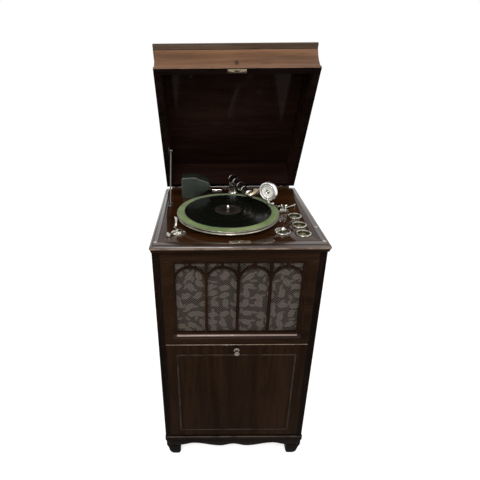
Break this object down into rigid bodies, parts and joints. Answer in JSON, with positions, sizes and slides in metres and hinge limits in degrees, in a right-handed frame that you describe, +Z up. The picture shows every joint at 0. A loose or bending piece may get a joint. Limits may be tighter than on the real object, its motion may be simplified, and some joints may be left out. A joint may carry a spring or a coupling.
{
  "type": "gramophone cabinet",
  "caption": "Upright talking-machine cabinet with the lid propped open over a turntable, a ringed tone arm and needle cups, above an arched cloth grille and a fall-front record compartment.",
  "frame": {"origin": "on the floor at the middle of the outline with the lid open", "axes": "+Z up, the front with grille and door faces -Y, +X to the right seen from the front"},
  "size_m": [0.4756, 0.5822, 1.2915],
  "materials": {
    "left_side": "stained and polished",
    "right_side": "stained and polished",
    "back_panel": "stained and polished",
    "bottom_board": "stained and polished",
    "shelf_board": "stained and polished",
    "front_posts": "stained and polished",
    "frieze_rail": "stained and polished",
    "mid_rail": "stained and polished",
    "base_rail": "stained and polished",
    "front_apron": "stained and polished",
    "feet": "stained and polished",
    "deck_frame": "stained and polished",
    "motor_board": "stained and polished",
    "grille_fret": "stained and polished",
    "lid_walls": "stained and polished",
    "lid_top": "stained and polished",
    "door": "stained and polished",
    "grille_frame": "stained and polished",
    "door_bead": "stained and polished",
    "horn": "plain",
    "record_dividers": "plain",
    "grille_cloth": "woven brocade",
    "turntable_felt": "felt",
    "horn_elbow": "black enamel",
    "accessory_boxes": "black enamel",
    "needle_cups": "nickel plated",
    "brake_plate": "nickel plated",
    "regulator_plate": "nickel plated",
    "lock_striker": "nickel plated",
    "stay_plate": "nickel plated",
    "arm_base": "nickel plated",
    "auto_stop": "nickel plated",
    "stop_lever": "nickel plated",
    "winding_escutcheon": "nickel plated",
    "stay_bracket": "nickel plated",
    "stay_rod": "nickel plated",
    "ringed_arm": "nickel plated",
    "stylus_bar": "nickel plated",
    "needle_screw": "nickel plated",
    "brake_lever": "nickel plated",
    "speed_pointer": "nickel plated",
    "turntable": "nickel plated",
    "arm_casting": "worn nickel",
    "soundbox_neck": "worn nickel",
    "soundbox": "worn nickel",
    "deck_buffers": "dull",
    "deck_hinge_leaves": "polished",
    "lid_hinge_leaves": "polished",
    "lid_lock": "polished",
    "door_knob": "polished",
    "spring_barrel": "polished",
    "train_wheel": "polished",
    "governor": "polished",
    "hinge_pins": "bright",
    "motor_frame": "bright",
    "spindle": "bright",
    "winding_arbor": "bright",
    "winding_shaft": "bright",
    "record": "grooved",
    "record_label": "paper"
  },
  "bodies": {
    "cabinet": {"left_side": "left_side", "right_side": "right_side", "back_panel": "back_panel", "bottom_board": "bottom_board", "shelf_board": "shelf_board", "front_posts": "front_posts", "frieze_rail": "frieze_rail", "mid_rail": "mid_rail", "base_rail": "base_rail", "front_apron": "front_apron", "feet": "feet", "deck_frame": "deck_frame", "motor_board": "motor_board", "grille_frame": "grille_frame", "grille_fret": "grille_fret", "grille_cloth": "grille_cloth", "horn": "horn", "horn_elbow": "horn_elbow", "record_dividers": "record_dividers", "needle_cups": "needle_cups", "brake_plate": "brake_plate", "regulator_plate": "regulator_plate", "lock_striker": "lock_striker", "deck_buffers": "deck_buffers", "stay_plate": "stay_plate", "arm_base": "arm_base", "auto_stop": "auto_stop", "accessory_boxes": "accessory_boxes", "deck_hinge_leaves": "deck_hinge_leaves", "hinge_pins": "hinge_pins", "motor_frame": "motor_frame", "winding_escutcheon": "winding_escutcheon"},
    "lid": {"lid_walls": "lid_walls", "lid_top": "lid_top", "lid_hinge_leaves": "lid_hinge_leaves", "lid_lock": "lid_lock", "stay_bracket": "stay_bracket"},
    "stay": {"stay_rod": "stay_rod"},
    "door": {"door": "door", "door_bead": "door_bead"},
    "knob": {"door_knob": "door_knob"},
    "turntable": {"turntable": "turntable", "turntable_felt": "turntable_felt", "spindle": "spindle", "record": "record", "record_label": "record_label"},
    "train": {"train_wheel": "train_wheel"},
    "barrel": {"spring_barrel": "spring_barrel"},
    "governor": {"governor": "governor"},
    "winding_arbor": {"winding_arbor": "winding_arbor"},
    "winding_shaft": {"winding_shaft": "winding_shaft"},
    "tone_arm": {"ringed_arm": "ringed_arm", "arm_casting": "arm_casting"},
    "sound_box": {"soundbox_neck": "soundbox_neck", "soundbox": "soundbox", "stylus_bar": "stylus_bar"},
    "needle_screw": {"needle_screw": "needle_screw"},
    "brake": {"brake_lever": "brake_lever"},
    "speed": {"speed_pointer": "speed_pointer"},
    "stop": {"stop_lever": "stop_lever"}
  },
  "joints": [
    {"name": "lid_hinge", "type": "hinge", "parent": "cabinet", "child": "lid", "pos_m": [0, 0.18091, 0.827], "axis": [-1, 0, 0], "range_deg": [-63.6, 0]},
    {"name": "stay_pivot", "type": "hinge", "parent": "lid", "child": "stay", "pos_m": [-0.203, 0.12051, 0.97565], "axis": [-1, 0, 0], "range_deg": [0, 31.8]},
    {"name": "door_hinge", "type": "hinge", "parent": "cabinet", "child": "door", "pos_m": [0, -0.26209, 0.1069], "axis": [1, 0, 0], "range_deg": [0, 88]},
    {"name": "knob_turn", "type": "hinge", "parent": "door", "child": "knob", "pos_m": [0, -0.27109, 0.474], "axis": [0, -1, 0], "range_deg": [0, 90]},
    {"name": "turntable_spin", "type": "hinge", "parent": "cabinet", "child": "turntable", "pos_m": [-0.023, -0.09309, 0.826], "axis": [0, 0, 1], "continuous": true},
    {"name": "train_spin", "type": "hinge", "parent": "cabinet", "child": "train", "pos_m": [0.02774, -0.07462, 0.784], "axis": [0, 0, 1], "continuous": true},
    {"name": "barrel_spin", "type": "hinge", "parent": "cabinet", "child": "barrel", "pos_m": [0.04716, -0.14707, 0.754], "axis": [0, 0, 1], "continuous": true},
    {"name": "governor_spin", "type": "hinge", "parent": "cabinet", "child": "governor", "pos_m": [-0.046, -0.09309, 0.748], "axis": [0, 1, 0], "continuous": true},
    {"name": "winding_arbor_turn", "type": "hinge", "parent": "cabinet", "child": "winding_arbor", "pos_m": [0.04716, -0.14707, 0.744], "axis": [0, 0, 1], "continuous": true},
    {"name": "winding_shaft_turn", "type": "hinge", "parent": "cabinet", "child": "winding_shaft", "pos_m": [0.15, -0.14707, 0.693], "axis": [1, 0, 0], "continuous": true},
    {"name": "arm_swivel", "type": "hinge", "parent": "cabinet", "child": "tone_arm", "pos_m": [0.004, 0.11891, 0.856], "axis": [0, 0, 1], "range_deg": [-19.8, 18]},
    {"name": "soundbox_lift", "type": "hinge", "parent": "tone_arm", "child": "sound_box", "pos_m": [0.06499, -0.05309, 0.894], "axis": [-0.6159, -0.7878, 0], "range_deg": [0, 100]},
    {"name": "needle_screw_turn", "type": "hinge", "parent": "sound_box", "child": "needle_screw", "pos_m": [0.10156, -0.0973, 0.87002], "axis": [0.7878, -0.6159, 0], "range_deg": [-180, 180]},
    {"name": "brake_swing", "type": "hinge", "parent": "cabinet", "child": "brake", "pos_m": [-0.161, -0.19909, 0.829], "axis": [0, 0, 1], "range_deg": [0, 12]},
    {"name": "speed_swing", "type": "hinge", "parent": "cabinet", "child": "speed", "pos_m": [0.122, -0.19709, 0.829], "axis": [0, 0, 1], "range_deg": [-25, 25]},
    {"name": "stop_swing", "type": "hinge", "parent": "cabinet", "child": "stop", "pos_m": [0.146, -0.03309, 0.836], "axis": [0, 0, 1], "range_deg": [-20, 20]}
  ],
  "couplings": [
    {"joint": "stay_pivot", "follows": "lid_hinge", "ratio": -0.5},
    {"joint": "train_spin", "follows": "turntable_spin", "ratio": -0.2},
    {"joint": "barrel_spin", "follows": "turntable_spin", "ratio": 0.05},
    {"joint": "governor_spin", "follows": "turntable_spin", "ratio": 30},
    {"joint": "winding_shaft_turn", "follows": "winding_arbor_turn", "ratio": -2}
  ]
}
